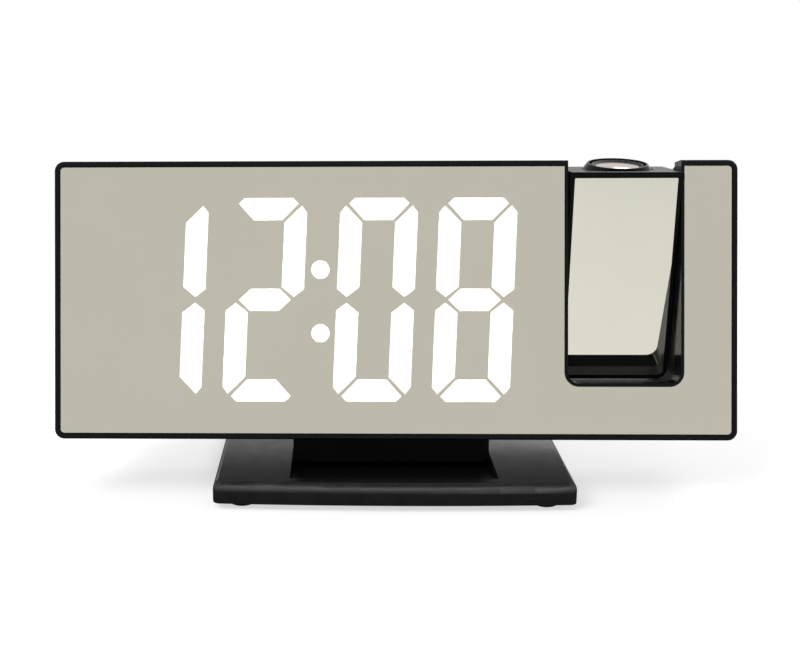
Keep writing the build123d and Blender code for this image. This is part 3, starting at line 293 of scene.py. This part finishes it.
NODE_MATERIALS = {
    "gloss": ["front_frame", "focus_ring"],
    "satin": ["base_shell", "base_bottom_plate", "mode_button", "set_button", "up_button", "down_button",
              "snooze_button"],
    "cover": ["rear_cover", "battery_cover", "neck"],
    "inner": ["tilt_friction_washers", "segment_light_box", "optics_tube", "focus_lens_cell", "alarm_buzzer",
              "button_switches"],
    "arm": ["arm_front_shell", "arm_rear_shell"],
    "arm_mirror": ["arm_mirror"],
    "lit": ["colon_dots", "hour_tens_lit_segments", "hour_units_lit_segments", "minute_tens_lit_segments",
            "minute_units_lit_segments"],
    "unlit": ["hour_tens_unlit_segments", "hour_units_unlit_segments", "minute_tens_unlit_segments"],
    "board": ["display_board", "main_board", "projector_led_board"],
    "led": ["display_leds", "projector_led"],
    "blackened": ["tilt_hinge_pin"],
    "bright": ["power_socket", "backup_coin_cell"],
    "rubber": ["base_feet"],
    "washer": ["arm_friction_washers", "arm_pivot_left", "arm_pivot_right"],
    "lens": ["focus_lens"],
    "glass": ["condenser_lens", "time_display_slide"],
}
chosen = {node: key for key, members in NODE_MATERIALS.items() for node in members}
for node_name, node_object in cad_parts.items():
    node_object.data.materials.clear()
    node_object.data.materials.append(MATERIALS[chosen.get(node_name, "steel")])


# ================================================================ mirror glass
def arc(cx, cz, r, start, end):
    angles = [math.radians(start + (end - start) * i / ARC_STEPS) for i in range(ARC_STEPS + 1)]
    return [(cx + r * math.cos(angle), cz + r * math.sin(angle)) for angle in angles]


def mirror_outline(inset):
    """The panel's outline with its notch, anticlockwise from the front, in the head's millimetres."""
    left, right = -HEAD_W / 2 + MIRROR_INSET + inset, HEAD_W / 2 - MIRROR_INSET - inset
    low, high = MIRROR_INSET + inset, HEAD_H - MIRROR_INSET - inset
    r = MIRROR_R
    notch_half = NOTCH_W / 2 + NOTCH_RIM + inset
    notch_low = NOTCH_FLOOR - NOTCH_RIM - inset
    notch_r = NOTCH_R + NOTCH_RIM + inset
    notch_left, notch_right = NOTCH_X - notch_half, NOTCH_X + notch_half
    points = arc(left + r, low + r, r, 180, 270) + arc(right - r, low + r, r, 270, 360)
    points += arc(right - r, high - r, r, 0, 90)
    points += [(notch_right, high)]
    points += arc(notch_right - notch_r, notch_low + notch_r, notch_r, 0, -90)
    points += arc(notch_left + notch_r, notch_low + notch_r, notch_r, 270, 180)
    points += [(notch_left, high)]
    points += arc(left + r, high - r, r, 90, 180)
    return points


def mirror_glass():
    """Face, softened edge and sides of the half-mirror; its back is against the frame's ledge."""
    rings = [(MIRROR_BACK, 0.0), (MIRROR_FRONT + MIRROR_EDGE, 0.0),
             (MIRROR_FRONT + MIRROR_EDGE * EDGE_EASE, MIRROR_EDGE * EDGE_EASE), (MIRROR_FRONT, MIRROR_EDGE)]
    mesh = bmesh.new()
    loops = [[mesh.verts.new(head_point(x, depth, up)) for x, up in mirror_outline(inset)]
             for depth, inset in rings]
    for near, far in zip(loops, loops[1:]):
        for i in range(len(near)):
            j = (i + 1) % len(near)
            mesh.faces.new((near[i], near[j], far[j], far[i]))
    mesh.faces.new(loops[-1])
    data = bpy.data.meshes.new("mirror_glass")
    mesh.to_mesh(data)
    mesh.free()
    return bpy.data.objects.new("mirror_glass", data)


glass_sheet = mirror_glass()
bpy.context.scene.collection.objects.link(glass_sheet)
glass_sheet.data.materials.append(
    mirror_film("half_mirror_film", (0.90, 0.86, 0.732), (0.914, 0.873, 0.743), alpha=0.8))
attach(glass_sheet, "head")
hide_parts("mirror_panel")


# ================================================================ floor, light and camera
def floor_surface(tree):
    """Seen directly the floor takes the object's soft shadow, and fades to plain white further off; in
    reflections it has a painted shadow near the middle.
    """
    distance = tree.new("ShaderNodeVectorMath")
    distance.operation = "LENGTH"
    tree.links.new(tree.coordinates("Object"), distance.inputs[0])
    away = distance.outputs["Value"]

    near = tree.new("ShaderNodeAddShader")
    lit = tree.new("ShaderNodeBsdfDiffuse", Color=(FLOOR_SEEN, FLOOR_SEEN, FLOOR_SEEN, 1))
    glow = tree.new("ShaderNodeEmission", Strength=FLOOR_GLOW)
    tree.links.new(lit.outputs[0], near.inputs[0])
    tree.links.new(glow.outputs[0], near.inputs[1])
    fade = tree.remap(away, FLOOR_FADE_START, FLOOR_FADE_END, 0.0, 1.0)
    seen = tree.mix(fade, near.outputs[0], tree.new("ShaderNodeEmission").outputs[0])

    # Painted shadow: the floor's colour in reflections darkens towards the object's middle; a mirror still
    # sees it pale.
    shade = tree.remap(away, FLOOR_PAINTED_SHADE_END, FLOOR_PALE_START, FLOOR_PAINTED_SHADE, FLOOR_PALE)
    plain = tree.new("ShaderNodeBsdfDiffuse")
    tree.links.new(tree.at_least(shade, FLOOR_PALE), plain.inputs["Color"])
    return tree.mix(tree.ray_is("Is Camera Ray", "Is Transmission Ray"), plain.outputs[0], seen)


def pale_floor():
    mesh = bpy.data.meshes.new("floor")
    half = FLOOR_HALF
    corners = [(-half, -half, 0), (half, -half, 0), (half, half, 0), (-half, half, 0)]
    mesh.from_pydata(corners, [], [(0, 1, 2, 3)])
    floor = bpy.data.objects.new("floor", mesh)
    bpy.context.scene.collection.objects.link(floor)
    material = bpy.data.materials.new("pale_floor")
    material.use_nodes = True
    material.node_tree.nodes.clear()
    tree = Tree(material.node_tree)
    out = tree.new("ShaderNodeOutputMaterial")
    tree.links.new(floor_surface(tree), out.inputs["Surface"])
    mesh.materials.append(material)


def room_level(tree):
    """What glossy surfaces see: dimmer in front, dark overhead, with a bright band in front.

    A mirror sees neither the dark ceiling nor the band.
    """
    split = tree.new("ShaderNodeSeparateXYZ")
    tree.links.new(tree.coordinates("Generated"), split.inputs[0])
    y, z = split.outputs["Y"], split.outputs["Z"]

    dim = tree.remap(y, ROOM_FRONT[0], ROOM_BACK[0], ROOM_FRONT[1], ROOM_BACK[1])
    leant = tree.math("MULTIPLY_ADD", y, OVERHEAD_LEAN, z)
    overhead = tree.remap(leant, OVERHEAD_START, OVERHEAD_END, 1.0, OVERHEAD_DARK)
    level = tree.math("MULTIPLY", dim, tree.at_least(overhead, 1.0))

    off_band = tree.math("ABSOLUTE", tree.math("SUBTRACT", z, BAND_Z))
    band = tree.remap(off_band, 0.0, BAND_HALF, BAND_LEVEL, 0.0)
    front = tree.remap(y, BAND_FRONT, BAND_FRONT_END, 1.0, 0.0)
    not_mirrored = tree.math("SUBTRACT", 1.0, tree.ray_is("Is Singular Ray"))
    return tree.math("ADD", level, tree.math("MULTIPLY", tree.math("MULTIPLY", band, front), not_mirrored))


def studio_world():
    """White backdrop; reflections see the room."""
    world = bpy.data.worlds.new("studio")
    bpy.context.scene.world = world
    world.use_nodes = True
    world.node_tree.nodes.clear()
    tree = Tree(world.node_tree)
    white = (1, 1, 1, 1)
    soft = tree.new("ShaderNodeBackground", Color=white, Strength=SOFT_LEVEL)
    room = tree.new("ShaderNodeBackground", Color=white)
    backdrop = tree.new("ShaderNodeBackground", Color=white)
    tree.links.new(room_level(tree), room.inputs["Strength"])
    glossy = tree.mix(tree.ray_is("Is Glossy Ray"), soft.outputs[0], room.outputs[0])
    seen = tree.mix(tree.ray_is("Is Camera Ray", "Is Transmission Ray"), glossy, backdrop.outputs[0])
    out = tree.new("ShaderNodeOutputWorld")
    tree.links.new(seen, out.inputs["Surface"])


def softbox(name, at, size, energy, glints=True):
    light = bpy.data.lights.new(name, "AREA")
    light.shape = "SQUARE"
    light.size = size
    light.energy = energy
    lamp = bpy.data.objects.new(name, light)
    bpy.context.scene.collection.objects.link(lamp)
    lamp.location = at
    lamp.visible_camera = False
    lamp.visible_glossy = glints
    lamp.rotation_euler = (LIGHT_TARGET - Vector(at)).to_track_quat("-Z", "Y").to_euler()


def camera():
    data = bpy.data.cameras.new("camera")
    data.sensor_width = SENSOR_W
    data.lens = LENS
    data.shift_x, data.shift_y = SHIFT_X, SHIFT_Y
    data.clip_start = CLIP_START
    view = bpy.data.objects.new("camera", data)
    view.location = CAMERA_AT
    aim = Euler((math.pi / 2 - CAMERA_PITCH, 0, CAMERA_YAW)).to_matrix()
    view.rotation_euler = (aim @ Matrix.Rotation(CAMERA_ROLL, 3, "Z")).to_euler()
    bpy.context.scene.collection.objects.link(view)
    bpy.context.scene.camera = view


pale_floor()
studio_world()
softbox("key", at=(-0.7, -0.5, 0.9), size=0.7, energy=9.0, glints=False)
softbox("back", at=(0.5, 0.8, 0.8), size=0.6, energy=6.5)
camera()
bpy.context.scene.view_settings.view_transform = "Standard"
